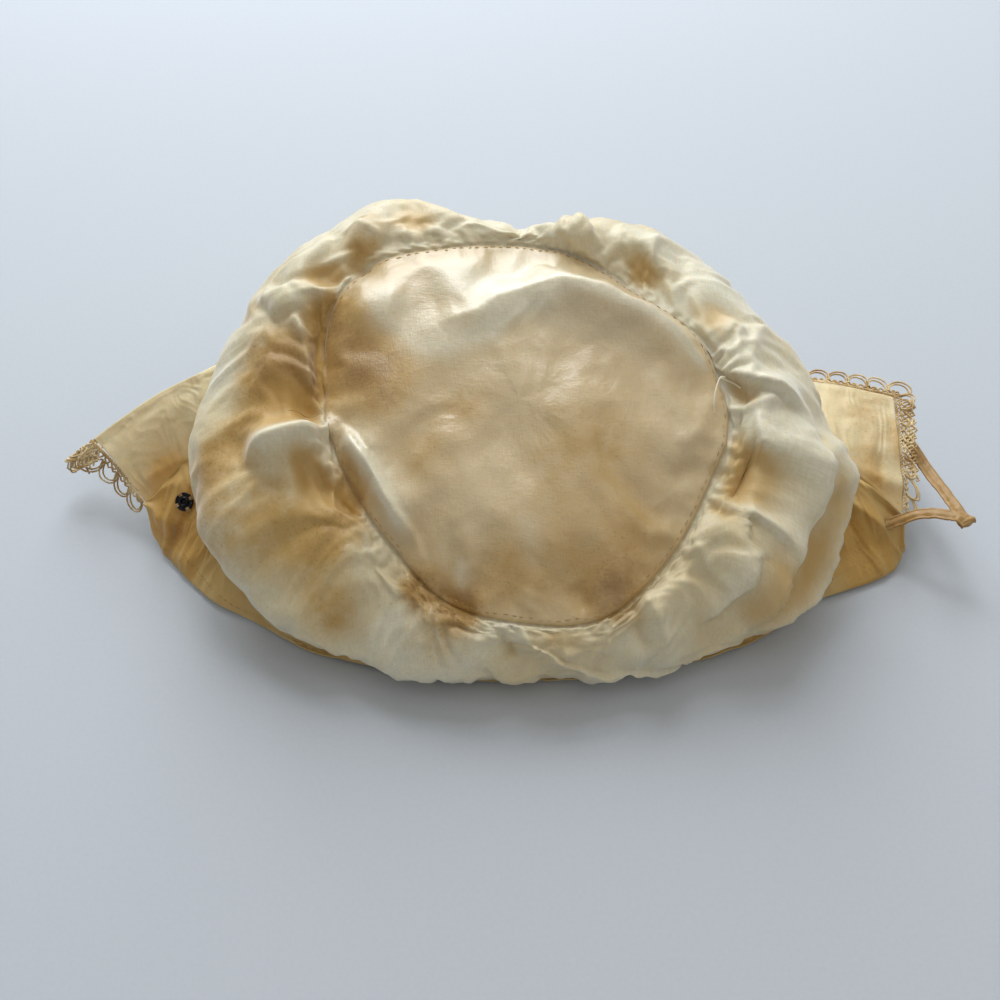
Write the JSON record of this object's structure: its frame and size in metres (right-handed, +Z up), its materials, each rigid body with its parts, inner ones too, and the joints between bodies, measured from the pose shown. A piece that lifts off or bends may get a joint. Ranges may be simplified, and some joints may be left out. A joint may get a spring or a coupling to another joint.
{
  "type": "baby bonnet",
  "caption": "Soft silk baby bonnet lying on its face opening: round back panel, gathered side band, flared brim with lace edging.",
  "frame": {"origin": "on the surface that the bonnet lies on, under the middle of its box", "axes": "+X along the brim from the left wing to the right wing, +Y towards the top of the head, +Z up"},
  "size_m": [0.2501, 0.1424, 0.076],
  "materials": {
    "crown_silk": "aged silk satin",
    "puff_silk": "thin aged silk",
    "brim_satin": "cream satin",
    "band_silk": "folded silk, stained",
    "lace_thread": "crocheted cotton",
    "ribbon": "narrow woven ribbon",
    "stud_metal": "blackened metal"
  },
  "bodies": {
    "root": {"crown": "crown_silk", "puff": "puff_silk", "brim": "brim_satin", "neck_band": "band_silk", "lace_edging": "lace_thread", "tie_ribbon": "ribbon", "press_stud": "stud_metal"}
  },
  "joints": []
}
